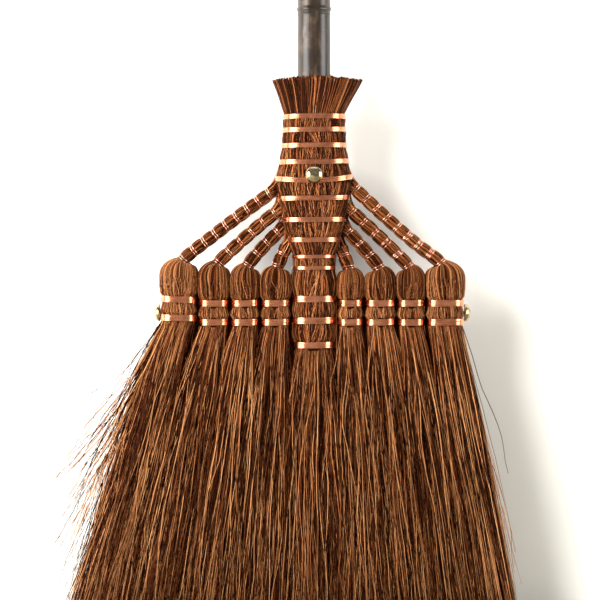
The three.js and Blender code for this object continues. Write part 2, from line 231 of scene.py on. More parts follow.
def make_piece(name, parts, material, nodes, body="head"):
    """One mesh object of tube and loft parts that replaces some CAD nodes and rides on a body, if any."""
    total = sum(len(rings) for rings, _ in parts)
    columns = math.ceil(math.sqrt(total))
    rows = math.ceil(total / columns)
    vertices, tints, corners, sizes, uvs = [], [], [], [], []
    first = cell = 0
    for rings, tint in parts:
        count, along, sides = rings.shape[:3]
        quads, caps = tube_faces(count, along, sides, first)
        quad_uvs, cap_uvs = tube_uvs(np.arange(cell, cell + count), along, sides, columns, rows)
        corners += [quads.ravel(), caps.ravel()]
        sizes += [np.full(len(quads), 4), np.full(len(caps), sides)]
        uvs += [quad_uvs, cap_uvs]
        vertices.append(rings.reshape(-1, 3))
        ring_tints = np.broadcast_to(np.reshape(tint, (count, -1)), (count, along))
        tints.append(np.repeat(ring_tints, sides))
        first += count * along * sides
        cell += count
    vertices = np.concatenate(vertices) * MM
    corners, sizes, uvs, tints = (np.concatenate(lists) for lists in (corners, sizes, uvs, tints))
    starts = np.concatenate([[0], np.cumsum(sizes)[:-1]])
    mesh = bpy.data.meshes.new(name)
    mesh.vertices.add(len(vertices))
    mesh.vertices.foreach_set("co", vertices.ravel())
    mesh.loops.add(len(corners))
    mesh.loops.foreach_set("vertex_index", corners.astype(np.int32))
    mesh.polygons.add(len(sizes))
    mesh.polygons.foreach_set("loop_start", starts.astype(np.int32))
    mesh.polygons.foreach_set("use_smooth", sizes == 4)
    mesh.update(calc_edges=True)
    mesh.attributes.new("tint", "FLOAT", "POINT").data.foreach_set("value", tints.astype(np.float32))
    mesh.uv_layers.new(name="OFBake").data.foreach_set("uv", uvs.astype(np.float32).ravel())
    mesh.materials.append(material)
    piece = bpy.data.objects.new(name, mesh)
    bpy.context.scene.collection.objects.link(piece)
    # The frame's materials have the plain names, so that Blender adds a number to these.
    if nodes:
        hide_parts(*nodes)
    if body:
        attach(piece, body)
    return piece


# ---- Paths ----


def bezier(corners, count):
    """Curves of count points, with a row of starts, two rows of handles and a row of ends for corners."""
    t = np.linspace(0, 1, count)[None, :, None]
    weights = [(1 - t) ** 3, 3 * t * (1 - t) ** 2, 3 * t**2 * (1 - t), t**3]
    return sum(weight * corner[:, None, :] for weight, corner in zip(weights, corners))


def catmull(points, count):
    """A smooth path of count points through the given ones."""
    points = np.concatenate([[2 * points[0] - points[1]], points, [2 * points[-1] - points[-2]]])
    spans = len(points) - 3
    place = np.linspace(0, spans, count)
    index = np.minimum(place.astype(int), spans - 1)
    t = (place - index)[:, None]
    a, b, c, d = (points[index + step] for step in range(4))
    return 0.5 * (2 * b + (c - a) * t + (2 * a - 5 * b + 4 * c - d) * t**2 + (3 * b - a - 3 * c + d) * t**3)


def way_round(angle):
    """The level direction round a bundle at each angle, which its upright fibres never follow."""
    return np.stack([-np.sin(angle), np.cos(angle), np.zeros_like(angle)], axis=-1).reshape(-1, 1, 3)


# ---- Random fibres ----


def random_for(name):
    """A random generator that depends only on a piece's name."""
    return np.random.default_rng(sum((place + 1) * ord(letter) for place, letter in enumerate(name)))


def waves(rng, count, share, amplitude, cycles):
    """Smooth random drift of count fibres along their shares, as (fibres, points, 2), still at share 0."""
    drift = np.zeros((count, len(share), 2))
    for harmonic in (1, 2, 3):
        turns = rng.uniform(*cycles, (count, 1, 1)) * harmonic
        phase = rng.uniform(0, TAU, (count, 1, 2))
        size = rng.normal(0, 1, (count, 1, 2)) / harmonic
        drift += size * (np.sin(TAU * turns * share[:, None] + phase) - np.sin(phase))
    return amplitude * drift


def disk(rng, count):
    """Random places in the unit circle, as angles and distances from its middle."""
    return rng.uniform(0, TAU, count), np.sqrt(rng.uniform(0, 1, count))


LIGHT, DARK, DARKEST = 0.88, 0.14, 0.02


def fibre_tints(rng, count, lit=0.5, contrast=1.0):
    """Tints of dark and light fibres. The lit share of them are light."""
    light = rng.random(count) < lit
    tint = np.where(light, rng.normal(LIGHT, 0.12, count), rng.normal(DARK, 0.10, count))
    even = DARK + (LIGHT - DARK) * lit
    return np.clip(even + (tint - even) * contrast, DARKEST, 1)


def mixed_tints(rng, count):
    """Tints of neighbouring fibres, with the light and the dark ones spread evenly among middling ones."""
    light_share, dark_share = 0.22, 0.28
    pick = np.arange(count) * GOLDEN_SHARE % 1
    tint = np.select([pick < light_share, pick > 1 - dark_share], [1.0, 0.12], 0.5)
    return np.clip(tint + rng.normal(0, 0.08, count), DARKEST, 1)


def tapered(count, points, radius, rng, tip=0.55, root=1.0):
    """Fibre radii, each thinner towards its end and a given share of itself at its root."""
    own = radius * rng.uniform(0.75, 1.3, (count, 1))
    return own * np.interp(np.linspace(0, 1, points), [0, 0.4, 0.6, 0.75, 1], [root, root, 1, 0.9, tip])


# ---- Materials ----


class Shading:
    """The node tree of a material or of the world, with short ways to add to it."""

    def __init__(self, owner, shader="Principled BSDF"):
        owner.use_nodes = True
        self.owner = owner
        self.tree = owner.node_tree
        self.shader = self.tree.nodes[shader]

    def put(self, socket, value):
        """Gives a socket a value or the output of another node."""
        if isinstance(value, bpy.types.NodeSocket):
            self.tree.links.new(value, socket)
        else:
            socket.default_value = value

    def node(self, kind, *values, **inputs):
        """A new node, with its first inputs set in order and others by name."""
        node = self.tree.nodes.new(f"ShaderNode{kind}")
        for socket, value in zip(node.inputs, values):
            self.put(socket, value)
        for name, value in inputs.items():
            self.put(node.inputs[name.replace("_", " ")], value)
        return node

    def surface(self, **inputs):
        """Sets inputs of the surface shader by name."""
        for name, value in inputs.items():
            self.put(self.shader.inputs[name.replace("_", " ")], value)

    def noise(self, scale, stretch=(1, 1, 1), detail=3.0, roughness=0.5):
        """Noise in the object's own space, stretched along some axes."""
        place = self.node("TexCoord").outputs["Object"]
        mapped = self.node("Mapping", Vector=place, Scale=stretch).outputs["Vector"]
        node = self.node("TexNoise", Vector=mapped, Scale=scale, Detail=detail, Roughness=roughness)
        return node.outputs["Fac"]

    def ramp(self, value, stops):
        node = self.node("ValToRGB", Fac=value)
        elements = node.color_ramp.elements
        while len(elements) < len(stops):
            elements.new(0.5)
        for element, (position, colour) in zip(elements, stops):
            element.position = position
            element.color = (*colour, 1)
        return node.outputs["Color"]

    def math(self, operation, first, second):
        node = self.node("Math", first, second)
        node.operation = operation
        return node.outputs["Value"]

    def between(self, value, low, high):
        """Maps a value from 0..1 to low..high."""
        return self.node("MapRange", Value=value, To_Min=low, To_Max=high).outputs["Result"]

    def bump(self, value, strength, distance):
        """Raises the surface by a value, up to a distance in metres."""
        node = self.node("Bump", Strength=strength, Distance=distance, Height=value)
        self.surface(Normal=node.outputs["Normal"])


def fibre_material():
    paint = Shading(bpy.data.materials.new("palm_fibre"))
    tint = paint.node("Attribute")
    tint.attribute_name = "tint"
    streak = paint.noise(2600, (1, 1, 0.012))
    value = paint.math("ADD", tint.outputs["Fac"], paint.between(streak, -0.22, 0.22))
    stops = [(0.0, (0.004, 0.0009, 0.0002)), (0.28, (0.038, 0.008, 0.0016)), (0.5, (0.13, 0.030, 0.0063)),
             (0.75, (0.36, 0.106, 0.026)), (1.0, (0.80, 0.37, 0.14))]
    paint.surface(Base_Color=paint.ramp(value, stops), Roughness=paint.between(streak, 0.38, 0.58),
                  Specular_IOR_Level=paint.between(value, 0.02, 0.18))
    paint.bump(streak, 0.3, 0.0001)
    return paint.owner


def metal_material(name, dull, bright, roughness, grain):
    paint = Shading(bpy.data.materials.new(name))
    cloud = paint.noise(grain, (1, 1, 1.5), detail=4)
    paint.surface(Base_Color=paint.ramp(cloud, [(0.3, dull), (0.62, bright)]), Metallic=1,
                  Roughness=paint.between(cloud, *roughness), Coat_Weight=0.4, Coat_Roughness=0.2)
    paint.bump(paint.noise(1400, (1, 1, 2)), 0.05, 0.00005)
    return paint.owner


def black_bamboo_material():
    paint = Shading(bpy.data.materials.new("black_bamboo"))
    blotch = paint.noise(140, (1, 1, 0.55), detail=6, roughness=0.62)
    streak = paint.noise(700, (1, 1, 0.03), detail=4)
    value = paint.math("ADD", blotch, paint.between(streak, -0.12, 0.12))
    stops = [(0.36, (0.008, 0.005, 0.003)), (0.52, (0.028, 0.017, 0.010)), (0.68, (0.085, 0.055, 0.034))]
    paint.surface(Base_Color=paint.ramp(value, stops), Roughness=paint.between(blotch, 0.24, 0.44),
                  Specular_IOR_Level=0.4, Coat_Weight=0.2, Coat_Roughness=0.14)
    paint.bump(streak, 0.25, 0.0002)
    return paint.owner


def pale_bamboo_material():
    paint = Shading(bpy.data.materials.new("pale_bamboo"))
    grain = paint.noise(900, (0.05, 1, 1), detail=4)
    stops = [(0.3, (0.30, 0.17, 0.07)), (0.6, (0.58, 0.40, 0.20))]
    paint.surface(Base_Color=paint.ramp(grain, stops), Roughness=paint.between(grain, 0.45, 0.65))
    paint.bump(grain, 0.3, 0.0002)
    return paint.owner


def cord_material():
    paint = Shading(bpy.data.materials.new("cotton_cord"))
    fuzz = paint.noise(2200)
    stops = [(0.3, (0.012, 0.010, 0.009)), (0.7, (0.06, 0.05, 0.045))]
    paint.surface(Base_Color=paint.ramp(fuzz, stops), Roughness=paint.between(fuzz, 0.7, 0.95),
                  Sheen_Weight=0.4)
    paint.bump(fuzz, 0.5, 0.0003)
    return paint.owner


FIBRE = fibre_material()
COPPER = metal_material("copper_wire", (0.67, 0.22, 0.095), (0.91, 0.36, 0.19), (0.16, 0.27), 160)
# A copy of the copper painted lighter, as a painted highlight, for the thin neck wires.
PAINTED_LIGHT_COPPER = metal_material("bright_copper_wire", (0.70, 0.29, 0.18), (0.95, 0.50, 0.34), (0.14, 0.24), 160)
BRASS = metal_material("brass", (0.34, 0.26, 0.13), (0.60, 0.48, 0.27), (0.10, 0.18), 240)
BLACK_BAMBOO = black_bamboo_material()
PALE_BAMBOO = pale_bamboo_material()
CORD = cord_material()

# ---- The tufts ----

FIBRE_RADIUS = 0.22
FULLNESS = 0.35  # how far a side tuft's fibres stand out at the sides of its CAD outline
PINCH = 1.2  # how far a band's wire presses into the tuft's outline
OUTER_FIBRES = 600
INNER_FIBRES = 1300
GAP_FIBRES = 80
OUTER_SCATTER = 6.0  # how far the tips stray from their even spread
INNER_SCATTER = 8.0
LOCK_SHARE, OWN_SHARE, DEEP_SHARE = 0.3, 0.9, 0.4  # of the scatter, by lock, by fibre and from front to back
LOCKS = 14  # groups of fibres that drift together, each blending into the next
SKIRT_POINTS = 14
INNER_POINTS = 10
SHORT_SHARE = 0.1  # of the bristles end higher up than the rest
SHORT_BY = 16.0
LOWEST_TIP = 0.4
TIP_UNEVENNESS = 0.9
SPILL = {"right_4": 0.1, "right_3": 0.5}  # how freely the fibres of a tuft scatter outwards
TRIM = {"right_4": 0.62, "left_4": 0.86}  # the share of its CAD foot's width that a tuft aims at
FLARE = {"right_4": 1.0, "left_4": 0.75}  # how late a tuft spreads, 1 for evenly down to the floor
USUAL_FLARE = 0.55
LEAN_CURVE = 0.9  # how late a tuft's middle moves over to its foot, at the least
TUFT_POWER = 0.7  # how square the tufts are in section
SHOULDER_DROP = 11.0  # from the neck's first ring down to where the crown is widest
CROWN_BULGE = 0.9  # how far the crown stands out over its bands
CROWN_TINT = 0.66  # the tint that a crown's fibres are drawn towards, by CROWN_CONTRAST
CROWN_CONTRAST = 0.8
CROWN_PAINTED_LIGHT = {"left_4": 0.04, "right_4": 0.02}  # painted light and shade: how much lighter than the skirt a crown is painted, the end crowns lighter than the rest
USUAL_PAINTED_SHADE = -0.09  # painted shade: the darkening of the other crowns, and of every tuft just under its lowest band
PAINTED_FLANK_SHADE = 0.26  # painted shade: how much darker a tuft is painted where it faces its neighbour, just below the bands

# How far the left and right ends of a band stand above its middle, and how far a whole band is raised.
BAND_LIFT = {"stock_band_5": (1.6, 2.8), "stock_band_4": (0.2, 0.8), "stock_band_6": (-0.4, 0.6),
             "left_4_band_upper": (1.0, -1.0), "left_4_band_lower": (0.5, -0.5),
             "left_3_band_upper": (0.3, -0.3)}
BAND_RISE = {"left_4_band_upper": 2.8, "left_4_band_lower": 3.2}


def band_edges(node):
    """The heights of a band's lower and upper edge."""
    middle, half = box(node)
    z = middle[2] + BAND_RISE.get(node, 0)
    return z - half[2], z + half[2]


class Tuft:
    """A tuft's sizes, from the frame and the tables above."""

    def __init__(self, name):
        self.name = name
        self.is_centre = name == "centre"
        self.foot_x, self.foot_w, self.foot_d = level(f"{name}_skirt", 0)
        self.foot_w *= TRIM.get(name, 1)
        self.spill = SPILL.get(name, 1)
        self.flare = FLARE.get(name, USUAL_FLARE)
        self.pivot = JOINTS[f"{name}_flex"]["pos_m"][2] / MM
        self.lower_band = band_edges(f"{name}_band_lower")
        self.upper_band = band_edges(f"{name}_band_upper")
        if self.is_centre:
            self.x = 0.0
            self.w, self.d = stock_at(box("centre_band_lower")[0][2])
        else:
            between = (self.lower_band[1] + self.upper_band[0]) / 2
            self.x, self.w, self.d = level(f"{name}_crown", between, reach=3)
            self.w += FULLNESS


def by_lock(values, angle):
    """Values for fibres round the tuft, from one for each lock, that blend from lock to lock."""
    place = angle / TAU * LOCKS
    lock = np.floor(place).astype(int)
    share = ease(place - lock).reshape(-1, *[1] * (values.ndim - 1))
    return values[lock % LOCKS] * (1 - share) + values[(lock + 1) % LOCKS] * share


def skirt_paths(tuft, rng, start, angle, distance, scatter, points=SKIRT_POINTS):
    """Free bristles from their starting points down to the trimmed tips."""
    count = len(angle)
    share = np.linspace(0, 1, points) ** 1.1
    wide, deep = (distance * part for part in squared(angle, TUFT_POWER))
    short = rng.random(count) < SHORT_SHARE
    foot = LOWEST_TIP + rng.exponential(TIP_UNEVENNESS, count) + short * rng.exponential(SHORT_BY, count)
    moved = np.zeros((count, points, 3))
    moved[:, :, 0] = (tuft.foot_x - tuft.x) * share ** max(tuft.flare, LEAN_CURVE)
    moved[:, :, 0] += (wide * (tuft.foot_w - tuft.w))[:, None] * share**tuft.flare
    sideways = by_lock(rng.normal(0, LOCK_SHARE * scatter, LOCKS), angle)
    sideways += rng.normal(0, OWN_SHARE * scatter, count)
    sideways = np.where(sideways * tuft.x > 0, sideways * tuft.spill, sideways)
    moved[:, :, 0] += sideways[:, None] * share ** rng.uniform(0.55, 1.25, (count, 1))
    deeper = deep * (tuft.foot_d - tuft.d) + rng.normal(0, DEEP_SHARE * scatter, count)
    moved[:, :, 1] = deeper[:, None] * share**0.7
    moved[:, :, 2] = (foot - start[:, 2])[:, None] * share
    drift = by_lock(waves(rng, LOCKS, share, 1.2, (0.3, 0.8)), angle)
    drift += waves(rng, count, share, 1.8, (0.4, 1.3)) + waves(rng, count, share, 0.5, (1.6, 2.4))
    drift[:, :, 0] *= np.where(drift[:, :, 0] * tuft.x > 0, 0.3 + 0.7 * tuft.spill, 1)
    moved[:, :, :2] += drift * ease(share * 3)[:, None]
    return start[:, None, :] + moved


def around(tuft, angle, factor, z):
    """Points on the tuft's outline, shrunk by factor, at one height."""
    wide, deep = squared(angle, TUFT_POWER)
    height = np.full(len(angle), float(z))
    return np.stack([tuft.x + tuft.w * factor * wide, tuft.d * factor * deep, height], axis=-1)


def bound_stations(bands, w, above):
    """Heights with the share of the outline, from above down past the bands, narrow under each of them."""
    squeezed = 1 - PINCH / w
    rows = list(above)
    for low, high in bands:
        rows += [(high + 2.2, 1 + 0.2 / w), (high + 0.2, squeezed), ((low + high) / 2, squeezed - 0.01),
                 (low - 0.3, squeezed)]
    return rows


def dome_paths(tuft, neck, angle, factor):
    """From the neck's first ring out over the crown's round shoulder."""
    root, tangent = neck.at(neck.first - 1.2)
    across = np.array([tangent[2], 0, -tangent[0]])
    ring = root + neck.pinched * (np.cos(angle)[:, None] * across + np.sin(angle)[:, None] * BACK)
    wide = factor * (1 + CROWN_BULGE / tuft.w)
    end = around(tuft, angle, wide, root[2] - SHOULDER_DROP)
    shoulder = around(tuft, angle, wide, root[2] - 2.5)
    leaving = ring + (shoulder - ring) * np.array([0.5, 0.5, 0.2])
    return bezier([ring, leaving, shoulder, end], 8)


def bound_paths(tuft, neck, rng, angle, factor, pull):
    """Fibres from the neck over the crown and under both bands. In the middle tuft they start in the stock."""
    paths = []
    if tuft.is_centre:
        stations = bound_stations([tuft.lower_band], tuft.w, [(tuft.lower_band[1] + 4, 1)])
    else:
        paths.append(dome_paths(tuft, neck, angle + pull, factor)[:, :-1])
        shoulder = neck.at(neck.first)[0][2] - SHOULDER_DROP
        belly = 1 + CROWN_BULGE / tuft.w
        above = [(shoulder, belly), ((shoulder + tuft.upper_band[1]) / 2, belly)]
        stations = bound_stations([tuft.upper_band, tuft.lower_band], tuft.w, above)
    heights = np.array([z for z, _ in stations])
    shares = (heights[0] - heights) / (heights[0] - heights[-1])
    lean = pull[:, None] * (1 - shares) + rng.normal(0, 0.06, (len(angle), 1)) * np.sin(TAU * shares)
    for place, (z, squeeze) in enumerate(stations):
        paths.append(around(tuft, angle + lean[:, place], factor * squeeze, z)[:, None, :])
    return np.concatenate(paths, axis=1)


def outer_tints(tuft, rng, angle, place):
    """A tint for each point of the outer fibres. The places count from where they come free of the bands."""
    calm = np.interp(place, [-3, 3], [CROWN_CONTRAST, 1])
    # Painted shade on the flanks that face a neighbour, just below the bands; the outer side of an end tuft is
    # left out.
    exposed = tuft.name.endswith("4") & (np.cos(angle) * tuft.x > 0)
    flank = np.where(exposed, 0, abs(np.cos(angle)) ** 4)
    shade = PAINTED_FLANK_SHADE * flank[:, None] * np.interp(place, [-2, 0, 6], [0, 1, 0])
    tint = mixed_tints(rng, len(angle))[:, None] * calm + CROWN_TINT * (1 - calm) - shade
    # Painted light on the end crowns, and painted shade on the other crowns and just under the lowest band.
    crown = CROWN_PAINTED_LIGHT.get(tuft.name, USUAL_PAINTED_SHADE)
    between_bands = max(crown, 0)
    tint += np.interp(place, [-9, -6, -3, -1, 8], [crown, between_bands, between_bands, USUAL_PAINTED_SHADE, 0])
    tint -= np.interp(place, [3, 12], [0, 0.07])
    return np.maximum(tint, DARKEST)


def outer_fibres(tuft, neck, rng):
    """Fibres that show from the neck over the crown, under both bands and down to the tips."""
    count = OUTER_FIBRES
    angle = even_angle((np.arange(count) + rng.random(count)) / count, TUFT_POWER)
    factor = 1 - rng.exponential(0.02, count)
    pull = by_lock(rng.normal(0, 0.2, LOCKS), angle) + rng.normal(0, 0.2, count)
    bound = bound_paths(tuft, neck, rng, angle, factor, pull)
    free = skirt_paths(tuft, rng, bound[:, -1], angle, factor, OUTER_SCATTER)
    whole = np.concatenate([bound, free[:, 1:]], axis=1)
    tint = outer_tints(tuft, rng, angle, np.arange(whole.shape[1]) - bound.shape[1])
    radius = tapered(count, whole.shape[1], FIBRE_RADIUS, rng, root=0.6)
    return tubes(whole, radius, tint, way_round(angle))


def inner_fibres(tuft, rng):
    """The bulk of the skirt, from inside the lowest band down to the tips."""
    angle, distance = disk(rng, INNER_FIBRES)
    angle = even_angle(angle / TAU, TUFT_POWER)
    distance *= 0.96
    start = around(tuft, angle, distance * (1 - PINCH / tuft.w), sum(tuft.lower_band) / 2)
    paths = skirt_paths(tuft, rng, start, angle, distance, INNER_SCATTER, INNER_POINTS)
    radius = tapered(INNER_FIBRES, INNER_POINTS, FIBRE_RADIUS, rng)
    # Fewer fibres are light towards the bundle's middle: a painted shade inside the bundle.
    return tubes(paths, radius, fibre_tints(rng, INNER_FIBRES, 0.10 + 0.26 * distance**2), way_round(angle))


STRAYS = {"left_4": (85, 20), "right_4": (8, 5)}  # how many, and how far they reach outside the skirt's foot


def stray_fibres(tuft, rng, count, reach):
    """Shorter fibres that leave the skirt's outer side, none further than reach outside its foot."""
    outward = np.sign(tuft.x)
    angle = np.where(outward > 0, 0, math.pi) + rng.normal(0, 0.8, count)
    start = around(tuft, angle, np.full(count, 0.9), tuft.lower_band[0])
    paths = skirt_paths(tuft, rng, start, angle, np.full(count, 1.0), 2)
    share = np.linspace(0, 1, SKIRT_POINTS)
    spread = rng.uniform(0, 1.5 * reach, (count, 1))
    paths[:, :, 0] += outward * spread * share ** rng.uniform(1.5, 3.0, (count, 1))
    paths[:, :, 1] += rng.normal(0, 5, (count, 1)) * share**2
    paths[:, :, 2] += reach * rng.uniform(0, 5.5, (count, 1)) * share ** rng.uniform(1, 1.6, (count, 1))
    over = outward * (paths[:, :, 0] - tuft.foot_x) - tuft.foot_w - reach
    paths[:, :, 0] -= outward * np.maximum(over.max(axis=1), 0)[:, None] * share**2
    radius = tapered(count, SKIRT_POINTS, 1.35 * FIBRE_RADIUS, rng, 0.6)
    return tubes(paths, radius, fibre_tints(rng, count), BACK)


def gap_fibres(tuft, inner, rng):
    """Loose fibres caught between a tuft and its neighbour nearer the middle, nearly all dark: real fibres
    whose dark tint is painted shade in the gap.
    """
    count, points = GAP_FIBRES, 16
    inward = -np.sign(tuft.x)
    z = np.linspace(tuft.upper_band[1] + 12, tuft.lower_band[0] - 70, points)
    share = np.clip((tuft.lower_band[0] - z) / tuft.lower_band[0], 0, 1)
    own = tuft.x + inward * tuft.w + (tuft.foot_x - tuft.x + inward * (tuft.foot_w - tuft.w)) * share
    beside = stock_at(np.maximum(z, inner.lower_band[0]))[0] if inner.is_centre else inner.w
    near = inner.x - inward * beside + (inner.foot_x - inner.x - inward * (inner.foot_w - inner.w)) * share
    middle = (own + near) / 2
    half = abs(own - near) / 2 + np.interp(z, [tuft.lower_band[0] - 40, tuft.lower_band[0] - 8], [0.25, 1.3])
    along = np.linspace(0, 1, points)
    place = rng.uniform(-1, 1, (count, 1)) + waves(rng, count, along, 0.25, (0.5, 1.5))[:, :, 0]
    paths = np.zeros((count, points, 3))
    paths[:, :, 0] = middle + half * place
    paths[:, :, 1] = rng.uniform(-4, 9, (count, 1))
    paths[:, :, 2] = z - rng.uniform(-3, 8, (count, 1)) * along
    return tubes(paths, FIBRE_RADIUS * 1.5, fibre_tints(rng, count, 0.03), BACK)


def tuft_bristles(tuft, neck=None, inner=None):
    """A tuft's skirt, with its crown where it has a neck. Inner is its neighbour nearer the middle."""
    rng = random_for(tuft.name)
    parts = [outer_fibres(tuft, neck, rng), inner_fibres(tuft, rng)]
    if not tuft.is_centre:
        parts.append(gap_fibres(tuft, inner, rng))
    if tuft.name in STRAYS:
        parts.append(stray_fibres(tuft, rng, *STRAYS[tuft.name]))
    piece = make_piece(f"{tuft.name}_tuft", parts, FIBRE, [f"{tuft.name}_skirt"], body=None)
    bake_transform(piece)


# ---- The necks ----

NECK_RADIUS = 4.75
NECK_PINCH = 0.7
NECK_STRANDS = 120
NECK_STEP = 1.5
INTO_CROWN = 5.0  # how far a neck's middle line goes on past the first ring of its wire, and past the last
INTO_STOCK = 17.0
MERGING_STRANDS = 46
WIRE_RADIUS = 0.48
PAIR_PITCH = 1.6
TURN_POINTS = 30  # along each turn of wire


class Neck:
    """A neck's middle line, from inside its crown to inside the stock, with the places of its wire."""

    def __init__(self, tuft):
        rings = ring_centres(f"{tuft.name}_neck_wire")
        flat = np.zeros((len(rings), 3))
        flat[:, [0, 2]] = rings
        below = flat[0] - unit(flat[1] - flat[0]) * INTO_CROWN - UP
        above = flat[-1] + unit(flat[-1] - flat[-2]) * INTO_STOCK
        self.line = catmull(np.concatenate([[below], flat, [above]]), 200)
        steps = np.linalg.norm(np.diff(self.line, axis=0), axis=1)
        self.length_at = np.concatenate([[0], np.cumsum(steps)])
        self.first = 2.5
        self.last = self.length_at[-1] - INTO_STOCK
        self.wires = np.linspace(self.first, self.last, len(rings))
        self.pinched = NECK_RADIUS - NECK_PINCH

    def point(self, s):
        return np.stack([np.interp(s, self.length_at, self.line[:, axis]) for axis in range(3)], axis=-1)

    def at(self, s):
        """The point and direction of the middle line at a distance along it."""
        s = np.asarray(s, float)
        return self.point(s), unit(self.point(s + 0.5) - self.point(s - 0.5))

    def radius(self, s):
        """Narrow under each pair of turns and round between them."""
        dips = np.exp(-(((np.asarray(s)[..., None] - self.wires) / 1.7) ** 2)).sum(axis=-1)
        return NECK_RADIUS - NECK_PINCH * np.minimum(dips, 1)

    def surface(self, s, angle, extra=0.0):
        """Points around the neck. Angle 0 is up and across, a quarter turn is the back."""
        point, tangent = self.at(s)
        across = np.stack([-tangent[..., 2], np.zeros_like(s), tangent[..., 0]], axis=-1)
        radius = (self.radius(s) + extra)[..., None]
        return point + radius * (np.cos(angle)[..., None] * across + np.sin(angle)[..., None] * BACK)


def neck_strands(neck, rng):
    """The neck's outermost fibres, which turn a little round it on their way into the stock."""
    count = NECK_STRANDS
    end = neck.last + 6
    s = np.linspace(0, end, int(end / NECK_STEP))
    share = s / end
    base = TAU * np.arange(count) / count + rng.normal(0, 0.06, count)
    swirl = waves(rng, count, share, 0.05, (1.5, 4.0))[:, :, 0]
    angle = base[:, None] + 0.5 * share + swirl
    depth = -rng.exponential(0.18, (count, 1)) + 0.12
    radius = 0.21 * rng.uniform(0.8, 1.25, (count, 1))
    return tubes(neck.surface(s, angle, depth), radius, fibre_tints(rng, count, 0.34, 0.62), BACK)


def neck_core(neck):
    s = np.linspace(0, neck.last + 14, 60)
    # The neck's packed fibres as one solid, tinted dark: painted shade where it shows between the strands.
    return tubes(neck.point(s)[None], neck.radius(s) - 0.45, 0.08, BACK, circle(16))


def merging_strands(tuft, neck, rng):
    """Strands that leave the neck and fan over the stock's side, up under the next band."""
    count = MERGING_STRANDS
    outward = np.sign(tuft.x)
    angle = rng.uniform(0, TAU, count)
    s = np.full(count, neck.last - 1.0)
    leave = neck.surface(s, angle)
    _, tangent = neck.at(s)
    rise = rng.uniform(14, 30, count)
    side = rng.normal(0, 0.75, count)

    def on_stock(risen, turned, proud):
        z = leave[:, 2] + risen
        wide, deep = (half + proud for half in stock_at(z))
        return np.stack([outward * wide * np.cos(turned), deep * np.sin(turned), z], axis=-1)

    halfway = on_stock(0.5 * rise, 0.6 * side, 0.4)
    paths = bezier([leave, leave + tangent * 7, halfway, on_stock(rise, side, 0)], 10)
    return tubes(paths, 0.28, fibre_tints(rng, count, 0.5, 0.7), BACK + 0.05 * UP)


def crown_core(tuft, neck):
    """The packed fibres inside a crown as one solid, tinted dark: painted shade where it shows between the
    outer ones.
    """
    root, _ = neck.at(neck.first)
    top = root[2] - 1.5
    foot = tuft.lower_band[0] - 1
    shoulder = root[2] - SHOULDER_DROP
    rounded = shoulder + (top - shoulder) * np.sin(np.linspace(0.2, 1.5, 9))
    z = np.concatenate([np.linspace(foot, shoulder, 8), rounded])
    share = np.clip((z - shoulder) / (top - shoulder), 0, 1)
    closing = np.maximum((1 - share**2.2) ** 0.5, 0.25)
    middle = tuft.x + (root[0] - tuft.x) * share**2
    return loft(middle, (tuft.w - 1.3) * closing, (tuft.d - 1.3) * closing, z, 0.12)


def neck_piece(tuft, neck):
    rng = random_for(tuft.name + "_neck")
    parts = [neck_strands(neck, rng), neck_core(neck), merging_strands(tuft, neck, rng)]
    parts.append(crown_core(tuft, neck))
    make_piece(f"{tuft.name}_neck", parts, FIBRE, [f"{tuft.name}_crown"])


# The pairs of turns that are wound loosely, with a third turn, counted from the crown.
LOOSE_PAIRS = {"right_4": (1, 2, 3), "right_3": (1, 2)}


def neck_winding(tuft, neck):
    """One wire that goes round the neck in pairs of turns and runs along its back from pair to pair."""
    rng = random_for(tuft.name + "_wire")
    s_rows, angle_rows = [], []
    before = 0
    for number, middle in enumerate(neck.wires):
        loose = number in LOOSE_PAIRS.get(tuft.name, ())
        turns = 3 if loose else 2
        pitch = PAIR_PITCH * (0.85 if loose else rng.uniform(0.9, 1.1))
        tilt = rng.normal(0, 0.7 if loose else 0.15)
        turn = np.linspace(0, turns, TURN_POINTS * turns + 1)
        leaning = tilt * np.sin(TAU * turn) * np.sin(math.pi * turn / turns)
        s_rows.append(middle + pitch * (turn - turns / 2) + leaning)
        angle_rows.append(math.pi / 2 + TAU * turn + TAU * before)
        before += turns
    s = np.maximum.accumulate(np.concatenate(s_rows))
    path = neck.surface(s, np.concatenate(angle_rows), WIRE_RADIUS * 0.75)
    apart = np.linalg.norm(np.diff(path, axis=0), axis=1) > 0.05
    keep = np.concatenate([[True], apart])
    _, tangent = neck.at(s[keep])
    part = tubes(path[None, keep], WIRE_RADIUS, 0.5, tangent + 0.001, circle(8))
    make_piece(f"{tuft.name}_neck_winding", [part], PAINTED_LIGHT_COPPER, [f"{tuft.name}_neck_wire"])


# ---- The copper bands ----

STOCK_POWER = 0.82  # how square the stock is in section
WIRE_TURN = 1.1  # height of one flattened turn
WIRE_THICKNESS = 0.42
WIRE_INSET = WIRE_THICKNESS + 0.1  # of the wire's middle inside the band's outline
FLAT_TURN_POINTS = 120


